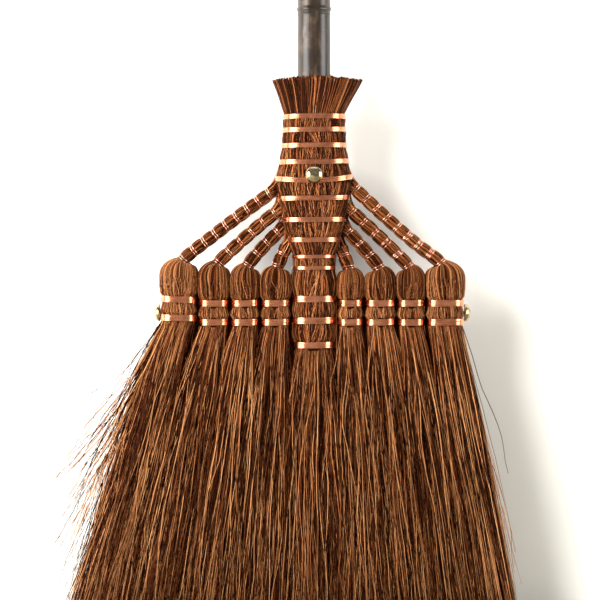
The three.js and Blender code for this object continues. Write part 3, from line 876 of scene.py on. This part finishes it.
def flat_winding(x, z, w, d, height, rng, lift, power):
    """Close turns of flattened wire inside a squared oval, from its foot up. A lift raises its two ends."""
    turns = round(height / WIRE_TURN)
    pitch = height / turns
    turn = np.linspace(0, turns - 0.02, FLAT_TURN_POINTS * turns)
    angle = even_angle(turn + 0.25, power)
    knots = np.arange(turns + 1)
    radial = np.interp(turn, knots, rng.normal(0, 0.05, turns + 1)) - WIRE_INSET
    rise = np.interp(turn, knots, rng.normal(0, 0.10, turns + 1)) * np.sin(angle * 0.5 + rng.uniform(0, TAU))
    across, deep = squared(angle, power)
    raised = np.where(across < 0, lift[0], lift[1]) * across**2
    height_at = z - height / 2 + pitch * (turn / turns * (turns - 1) + 0.5) + rise + raised
    path = np.stack([x + (w + radial) * across, (d + radial) * deep, height_at], axis=-1)
    section = circle(12, 0.45, pitch / 2 / WIRE_THICKNESS)  # as high as the pitch, so that the turns touch
    return tubes(path[None], WIRE_THICKNESS, 0.5, UP, section)


def band_piece(node):
    rng = random_for(node)
    middle, half = box(node)
    lift = BAND_LIFT.get(node, (rng.normal(0, 0.2), rng.normal(0, 0.2)))
    power = TUFT_POWER if node.startswith(("left", "right")) else STOCK_POWER
    z = middle[2] + BAND_RISE.get(node, 0)
    part = flat_winding(middle[0], z, half[0], half[1], 2 * half[2], rng, lift, power)
    make_piece(node.replace("band", "winding"), [part], COPPER, [node])


def centre_neck_edges():
    """The low and high edges of the two short bands that the middle neck's one wire makes."""
    z = np.unique(cad_points("centre_neck_wire")[:, 2].round(1))
    split = (z.min() + z.max()) / 2
    return [(band.min(), band.max()) for band in (z[z < split - 1.5], z[z > split + 1.5])]


def centre_neck_windings():
    """The two short bands of one wire on the middle neck, joined by a run up the back."""
    rng = random_for("centre_neck")
    node = "centre_neck_wire"
    edges = centre_neck_edges()
    parts = []
    for low, high in edges:
        middle = (low + high) / 2
        _, w, d = level(node, middle, reach=2.2)
        parts.append(flat_winding(0, middle, w, d, high - low, rng, (0, 0), STOCK_POWER))
    z = np.linspace(edges[0][0] + 2, edges[1][1] - 2, 8)
    run = np.stack([0.6 * np.sin(z), np.full(8, box(node)[1][1] - 0.5), z], axis=-1)
    parts.append(tubes(run[None], WIRE_RADIUS, 0.5, np.array([1.0, 0.0, 0.0]), circle(8)))
    make_piece("centre_neck_winding", parts, COPPER, [node])


# ---- The centre stock ----

STOCK_FIBRES = 960  # in each stretch between two bands, for a girth of STOCK_GIRTH
STOCK_GIRTH = 130.0
UNDER_BAND = 1.6  # how far the stock's fibres reach in under the bands
LOOSE_SHARE = 0.035  # of the stock's fibres stand away from it at their upper ends
COLLAR_FIBRES = 2000
COLLAR_LEAN = 2.4  # how far the collar leans to the right at its top


def wrapped_levels():
    """The low and high edge of every winding on the stock, from the foot up."""
    return sorted([band_edges(node) for node in STOCK_BANDS + CENTRE_BANDS] + centre_neck_edges())


def stretch_fibres(low, high, rng):
    """Short fibres from under one band to under the next, bulging a little between them."""
    w, d = stock_at((low + high) / 2)
    girth = math.pi * (w + d)
    count = int(STOCK_FIBRES * girth / STOCK_GIRTH * (1.0 if high - low < 30 else 1.3))
    points = 7 if high - low < 12 else 10
    share = np.linspace(0, 1, points)
    angle = even_angle(rng.random((count, 1)), STOCK_POWER)
    swept = 0.06 * (np.sin(3 * angle + rng.uniform(0, TAU)) + np.sin(7 * angle + rng.uniform(0, TAU)))
    lean = (swept + rng.normal(0, 0.06, (count, 1))) * (high - low) / 10
    drift = waves(rng, count, share, 0.009, (0.4, 1.1))[:, :, 0]
    angles = angle + lean * (share - 0.5) + drift
    bulge = 0.7 * np.sin(math.pi * share) * min(1, (high - low) / 8)
    depth = -rng.exponential(0.35, (count, 1)) + rng.normal(0, 0.02, (count, points))
    loose = rng.random((count, 1)) < LOOSE_SHARE
    free_end = np.where(loose, ease((share - 0.45) / 0.55) * rng.uniform(0.4, 1.6, (count, 1)), 0)
    factor = 1 + (bulge + depth) / ((w + d) / 2) + free_end / w
    z = low - UNDER_BAND + (high - low + 2 * UNDER_BAND) * share + np.zeros_like(angles)
    wide, deep = squared(angles, STOCK_POWER)
    w_at, d_at = stock_at(z)
    paths = np.stack([w_at * factor * wide, d_at * factor * deep, z], axis=-1)
    radius = 0.82 * FIBRE_RADIUS * rng.uniform(0.75, 1.25, (count, 1))
    return tubes(paths, radius, fibre_tints(rng, count, 0.35, 0.68), way_round(angle))


def stock_core():
    z = np.linspace(STOCK_FOOT - 1, STOCK_TOP - 4, 90)
    w, d = stock_at(z)
    inside = np.interp(z, [STOCK_TOP - 26, STOCK_TOP], [0.8, 5.0])
    # The packed fibres as one solid, tinted dark: painted shade where it shows between the stretches' fibres.
    return loft(np.zeros(len(z)), w - inside, d - inside, z, 0.14, 64)


def stock_pieces():
    """The stock's fibres in three pieces, from the foot up, with the core, tinted dark as painted shade, in
    the lowest.
    """
    rng = random_for("stock")
    edges = wrapped_levels()
    stretches = [stretch_fibres(below, above, rng) for (_, below), (above, _) in zip(edges, edges[1:])]
    third = math.ceil(len(stretches) / 3)
    for number, which in enumerate(("lower", "middle", "upper")):
        parts = stretches[number * third:(number + 1) * third]
        if which == "lower":
            parts.append(stock_core())
        make_piece(f"stock_fibres_{which}", parts, FIBRE, ["centre_stock"])


def collar_piece():
    """The trimmed ends of all the fibres, flaring out above the highest band."""
    rng = random_for("collar")
    count, points = COLLAR_FIBRES, 10
    low = wrapped_levels()[-1][0]
    angle, _ = disk(rng, count)
    outer = rng.random(count) < 0.42
    place = np.where(outer, 1 - rng.exponential(0.03, count), np.sqrt(rng.uniform(0.02, 0.95, count)))
    share = np.linspace(0, 1, points)
    outwards = place * abs(np.cos(angle))
    top = STOCK_TOP + 0.4 - 2.0 * outwards**2 + rng.normal(0, 0.7, count)
    z = low - 2 + (top[:, None] - low + 2) * share
    w, d = stock_at(z)
    pole = pole_taper(z) + 0.5
    drift = waves(rng, count, share, 0.012, (0.3, 0.9))
    turned = angle[:, None] + drift[:, :, 0] + rng.normal(0, 0.03, (count, 1)) * share
    leaning = COLLAR_LEAN * ease((z - low) / (STOCK_TOP - low))
    x = (pole + (w - pole) * place[:, None]) * np.cos(turned) + leaning
    y = (pole + (d - pole) * place[:, None]) * np.sin(turned)
    radius = tapered(count, points, FIBRE_RADIUS, rng, 0.85)
    tints = fibre_tints(rng, count, 0.26, 0.65)
    part = tubes(np.stack([x, y, z], axis=-1), radius, tints, way_round(angle))
    make_piece("collar_fibres", [part], FIBRE, [])


# ---- The bamboo pole, the skewer and the nails ----

POLE_SIDES = 72
RIM = 0.6  # the rounding of the pole's upper edge
# How proud each ring of a node stands, its height from the node and its reach: scar, crease, ridge and dip.
NODE_SHAPE = [(0.42, -1.4, 0.55), (-0.22, 0, 0.7), (0.70, 1.9, 1.5), (-0.18, -6, 5)]
GROOVE_DEPTH = 0.55
NAIL_SHANK = 1.1
NAIL_DOME = 4.8


def pole_nodes():
    """The heights of the bamboo's nodes."""
    proud = POLE_LEVELS[POLE_LEVELS[:, 1] > pole_taper(POLE_LEVELS[:, 0]) + 0.5]
    return proud[:, 0]


def pole_heights(nodes):
    """The heights of the pole's rings of corners, close together near each of its nodes."""
    plain = np.concatenate([np.arange(POLE_FOOT, POLE_TOP, 12), [POLE_TOP - RIM, POLE_TOP]])
    near = np.concatenate([[-14, -8, -5], np.linspace(-3.5, 5.5, 19), [8, 12]])
    z = np.unique(np.concatenate([plain, *(node + near for node in nodes)]).round(2))
    return z[(z >= POLE_FOOT) & (z <= POLE_TOP)]


def pole_piece():
    """Smooth lengths of culm between nodes, each with its scar, its ridge and a shallow groove above it."""
    nodes = pole_nodes()
    z = pole_heights(nodes)[:, None]
    angle = (TAU * np.arange(POLE_SIDES) / POLE_SIDES)[None, :]
    radius = pole_taper(z) + np.zeros_like(angle)
    for number, node in enumerate(nodes):
        away = z - node
        for proud, place, reach in NODE_SHAPE:
            radius = radius + proud * np.exp(-(((away - place) / reach) ** 2))
        bud = number * math.pi + 0.7
        turned = (angle - bud + math.pi) % TAU - math.pi
        groove = np.exp(-((turned / 0.35) ** 2)) * ease((away - 3) / 6) * (1 - ease((away - 30) / 70))
        radius = radius - GROOVE_DEPTH * groove
    radius = radius - RIM * ease((z - (POLE_TOP - RIM)) / RIM)
    rings = np.stack([radius * np.cos(angle), radius * np.sin(angle), z + np.zeros_like(radius)], axis=-1)
    make_piece("bamboo_pole", [(rings[None], np.array([0.5]))], BLACK_BAMBOO, ["handle_pole"])


def turned_piece(name, profile, start, axis, material, node, sides):
    """A solid turned round a level axis. The profile holds distances along the axis and radii."""
    profile = np.array(profile)
    line = start + profile[:, :1] * axis
    across = unit(np.cross(axis, UP))
    other = np.cross(axis, across)
    corner = circle(sides)
    ring = across * corner[:, :1] + other * corner[:, 1:]
    rings = line[:, None] + profile[:, 1, None, None] * ring
    make_piece(name, [(rings[None], np.array([0.5]))], material, [node])


def nail_profile(shank, height, radius):
    """Distances along a nail and radii there, from the point of its shank to the top of its round head."""
    rim = 0.45
    rows = [(-shank, 0.05), (3 - shank, NAIL_SHANK), (-0.05, NAIL_SHANK), (0.0, radius - 0.35)]
    rows += [(0.12, radius - 0.08), (rim, radius)]
    for angle in np.linspace(0.12, math.pi / 2, 14)[:-1]:
        rows.append((rim + (height - rim) * math.sin(angle), radius * math.cos(angle)))
    return rows + [(height, 0.12)]


def nail_piece(node, axis, name):
    middle, half = box(node)
    axis = np.array(axis, float)
    direction = int(abs(axis).argmax())
    radius = max(half[side] for side in range(3) if side != direction)
    start = middle + axis * (half[direction] - NAIL_DOME)
    profile = nail_profile(2 * half[direction] - NAIL_DOME, NAIL_DOME, radius)
    turned_piece(name, profile, start, axis, BRASS, node, 72)


def skewer_piece():
    """A slightly uneven round stick with bevelled ends."""
    middle, half = box("cross_skewer")
    radius = half[2]
    length = 2 * half[0]
    profile = [(0, radius - 0.5), (0.5, radius)]
    for share in np.linspace(0.05, 0.95, 19):
        profile.append((length * share, radius * (1 + 0.02 * math.sin(40 * share))))
    profile += [(length - 0.5, radius), (length, radius - 0.5)]
    start = middle - np.array([half[0], 0, 0])
    turned_piece("bamboo_skewer", profile, start, np.array([1.0, 0.0, 0.0]), PALE_BAMBOO, "cross_skewer", 28)


# ---- The hanging cord ----

STRAND_RADIUS = 0.95
STRAND_OFFSET = 0.8
STRAND_PITCH = 8.0
CORD_STEP = 0.7
CORD_TAIL = 12.0
FRAYED_THREADS = 26


def plied(path, reference):
    """Three strands twisted round a path."""
    steps = np.linalg.norm(np.diff(path, axis=0), axis=1)
    along = np.concatenate([[0], np.cumsum(steps)])
    length = along[-1]
    place = np.linspace(0, length, int(length / CORD_STEP))
    even = np.stack([np.interp(place, along, path[:, axis]) for axis in range(3)], axis=-1)
    tangent = unit(np.gradient(even, axis=0))
    across = unit(np.cross(tangent, reference))
    other = np.cross(tangent, across)
    strands = []
    for third in range(3):
        angle = (TAU * place / STRAND_PITCH + TAU * third / 3)[:, None]
        strands.append(even + STRAND_OFFSET * (np.cos(angle) * across + np.sin(angle) * other))
    return tubes(np.array(strands), STRAND_RADIUS, 0.5, reference, circle(8))


def knot_path(centre, size):
    """A closed overhand knot."""
    t = np.linspace(0, TAU, 160)
    x = np.sin(t) + 2 * np.sin(2 * t)
    y = -np.sin(3 * t) * 1.3
    z = np.cos(t) - 2 * np.cos(2 * t)
    return centre + size * np.stack([x, y, z], axis=-1)


def frayed_threads(rng, end, direction):
    """Short threads that stick out of a cut end of the cord."""
    count = FRAYED_THREADS
    spread = rng.normal(0, 1.2, (count, 3)) * np.array([1, 1, 0.25])
    base = end + rng.normal(0, 0.6, (count, 3)) * np.array([1, 1, 0.2])
    share = np.linspace(0, 1, 5)[None, :, None]
    lift = direction * 2.2
    threads = base[:, None, :] - lift * 0.8 + (lift + spread[:, None, :] * 0.6) * share
    return tubes(threads, 0.13, 0.6, BACK)


def cord_piece():
    """A loop through the pole's hole, tied in a knot above it, with two frayed ends."""
    rng = random_for("cord")
    middle, half = box("hanging_cord")
    hole = JOINTS["cord_swing"]["pos_m"][2] / MM
    wide = half[0] - 1.6
    top = middle[2] + half[2] - CORD_TAIL - 1.2
    right = [(0, hole), (5.5, hole), (11, hole), (wide - 1, hole + 3.2), (wide, hole + 12),
             (wide, (hole + top) / 2), (wide - 3, top - 16), (6, top - 4), (1.2, top)]
    left = [(-x, z) for x, z in right[:0:-1]]
    line = np.array([(x, 0.0, z) for x, z in left + right])
    knot = np.array([0.0, 0.0, top])
    parts = [plied(catmull(line, 400), BACK), plied(knot_path(knot, 1.15), np.array([0.05, 0.3, 1.0]))]
    for side in (-1, 1):
        end = knot + np.array([side * 4.2, -side * 0.8, CORD_TAIL - 2.6])
        parts += [plied(np.linspace(knot, end, 12), BACK), frayed_threads(rng, end, unit(end - knot))]
    make_piece("hanging_loop", parts, CORD, ["hanging_cord"], body="cord")


# ---- The stage, the lights and the camera ----

FRAME_WIDTH = 438.0  # what the camera sees across
VIEW_MIDDLE = (-10.2, 227.8)  # x and z of the middle of the view
CAMERA_DISTANCE = 2600.0
SENSOR = 36


def stage_plane(name, size, place, rotation, material):
    mesh = bpy.data.meshes.new(name)
    w, h = size[0] / 2 * MM, size[1] / 2 * MM
    mesh.from_pydata([(-w, -h, 0), (w, -h, 0), (w, h, 0), (-w, h, 0)], [], [(0, 1, 2, 3)])
    mesh.materials.append(material)
    plane = bpy.data.objects.new(name, mesh)
    plane.location = [value * MM for value in place]
    plane.rotation_euler = rotation
    bpy.context.scene.collection.objects.link(plane)


PLASTER = (0.85, 0.83, 0.775)
DIM_PLASTER = (0.30, 0.28, 0.24)  # how polished metal mirrors the plaster
SHADE = (0.24, 0.235, 0.225)  # of the patch painted on the wall
SHADE_MIDDLE = (-0.002, -1.832)  # on the wall's own plane, in metres
SHADE_REACH = (0.098, 0.066)
SKY_FOR_ALL, SKY_FOR_CAMERA, SKY_MIRRORED = 0.14, 0.74, 0.15  # strengths that add up


def painted_shade(paint):
    """Plaster with a soft dark patch painted on it behind the necks, in place of a cast shadow."""
    place = paint.node("TexCoord").outputs["Object"]
    mapping = paint.node("Mapping", Vector=place, Location=(*SHADE_MIDDLE, 0), Scale=(*SHADE_REACH, 1))
    mapping.vector_type = "TEXTURE"
    gradient = paint.node("TexGradient", Vector=mapping.outputs["Vector"])
    gradient.gradient_type = "SPHERICAL"
    return paint.ramp(gradient.outputs["Fac"], [(0.0, PLASTER), (0.75, SHADE)])


def floor_material():
    """Pale matt plaster that polished metal mirrors darker than it is."""
    paint = Shading(bpy.data.materials.new("floor_plaster"))
    mirrored = paint.node("LightPath").outputs["Is Glossy Ray"]
    paint.surface(Base_Color=paint.ramp(mirrored, [(0.0, PLASTER), (1.0, DIM_PLASTER)]), Roughness=0.9,
                  Specular_IOR_Level=0.1)
    return paint.owner


def wall_material():
    """Pale matt plaster with a painted shade. It is clear from behind and casts no shadow itself."""
    paint = Shading(bpy.data.materials.new("wall_plaster"))
    paint.surface(Base_Color=painted_shade(paint), Roughness=0.9, Specular_IOR_Level=0.1)
    shadow = paint.node("LightPath").outputs["Is Shadow Ray"]
    clear = paint.math("MAXIMUM", paint.node("NewGeometry").outputs["Backfacing"], shadow)
    glass = paint.node("BsdfTransparent").outputs[0]
    mix = paint.node("MixShader", clear, paint.shader.outputs[0], glass)
    paint.put(paint.tree.nodes["Material Output"].inputs["Surface"], mix.outputs[0])
    return paint.owner


LAMPS_AIM = np.array([0, 0, 0.25])  # in metres


def softbox(name, azimuth, elevation, distance, size, power, shows):
    """A lamp aimed at the head of the broom. Azimuth 0 is the camera's side and positive is to the right.

    It shows in matt surfaces only, in mirrored ones only, or in both.
    """
    lamp = bpy.data.lights.new(name, "AREA")
    lamp.shape = "ELLIPSE" if shows == "mirrored" else "RECTANGLE"
    lamp.size, lamp.size_y = size
    lamp.energy = power
    light = bpy.data.objects.new(name, lamp)
    a, e = math.radians(azimuth), math.radians(elevation)
    away = np.array([math.sin(a) * math.cos(e), -math.cos(a) * math.cos(e), math.sin(e)])
    light.location = LAMPS_AIM + away * distance
    light.rotation_euler = (math.pi / 2 - e, 0, a)
    light.visible_camera = False
    light.visible_glossy = shows != "matt"
    light.visible_diffuse = shows != "mirrored"
    bpy.context.scene.collection.objects.link(light)


def set_world():
    """A white sky, much brighter for the camera than for the broom that it lights."""
    world = bpy.data.worlds.new("studio")
    bpy.context.scene.world = world
    paint = Shading(world, "Background")
    rays = paint.node("LightPath").outputs
    seen = paint.math("MULTIPLY", rays["Is Camera Ray"], SKY_FOR_CAMERA)
    mirrored = paint.math("MULTIPLY", rays["Is Glossy Ray"], SKY_MIRRORED)
    strength = paint.math("ADD", paint.math("ADD", seen, mirrored), SKY_FOR_ALL)
    paint.surface(Strength=strength, Color=(1, 1, 1, 1))


# Each lamp's name, azimuth and elevation in degrees, distance and size in metres, power in watts, and what
# it shows in.
LAMPS = [
    ("left_gleam", -60, 2, 1.25, (0.95, 1.2), 27, "mirrored"),
    ("right_gleam", 68, 2, 1.25, (0.75, 1.1), 15, "mirrored"),
    ("top_gleam", 0, 75, 1.4, (1.4, 0.6), 3, "mirrored"),
    ("left_fill", -70, 10, 1.3, (0.6, 0.8), 22, "matt"),
    ("right_fill", 75, 10, 1.3, (1.0, 1.1), 4, "matt"),
    ("top_softbox", -8, 62, 1.6, (1.3, 0.7), 10, "matt"),
    ("key", -24, 16, 1.9, (0.5, 0.5), 42, "matt"),
    ("back_fill", 180, 20, 2.4, (2.2, 2.0), 8, "both"),
]
FLOOR_SIZE = (12000, 12000)
WALL_SIZE = (5200, 4200)
WALL_Y = 100


def set_stage():
    stage_plane("floor", FLOOR_SIZE, (0, 0, 0), (0, 0, 0), floor_material())
    stage_plane("wall", WALL_SIZE, (0, WALL_Y, WALL_SIZE[1] / 2), (math.pi / 2, 0, 0), wall_material())
    for lamp in LAMPS:
        softbox(*lamp)
    set_world()


def set_camera():
    camera = bpy.data.objects.new("camera", bpy.data.cameras.new("camera"))
    camera.data.sensor_width = SENSOR
    camera.data.lens = SENSOR * CAMERA_DISTANCE / FRAME_WIDTH
    x, z = VIEW_MIDDLE
    camera.location = (x * MM, -CAMERA_DISTANCE * MM, z * MM)
    camera.rotation_euler = (math.pi / 2, 0, 0)
    bpy.context.scene.collection.objects.link(camera)
    bpy.context.scene.camera = camera


# ---- The whole broom ----


def build_broom():
    tufts = {name: Tuft(name) for name in [*TUFTS, "centre"]}
    tuft_bristles(tufts["centre"])
    for name in TUFTS:
        tuft = tufts[name]
        side, number = name.split("_")
        neck = Neck(tuft)
        tuft_bristles(tuft, neck, tufts.get(f"{side}_{int(number) - 1}", tufts["centre"]))
        neck_piece(tuft, neck)
        neck_winding(tuft, neck)
        band_piece(f"{name}_band_upper")
        band_piece(f"{name}_band_lower")
    for node in STOCK_BANDS + CENTRE_BANDS:
        band_piece(node)
    centre_neck_windings()
    stock_pieces()
    collar_piece()
    pole_piece()
    skewer_piece()
    nail_piece("handle_nail", (0, -1, 0), "handle_nail_head")
    nail_piece("side_nail_left", (-1, 0, 0), "left_nail_head")
    nail_piece("side_nail_right", (1, 0, 0), "right_nail_head")
    cord_piece()


build_broom()
set_stage()
set_camera()
bpy.context.scene.view_settings.view_transform = "Standard"
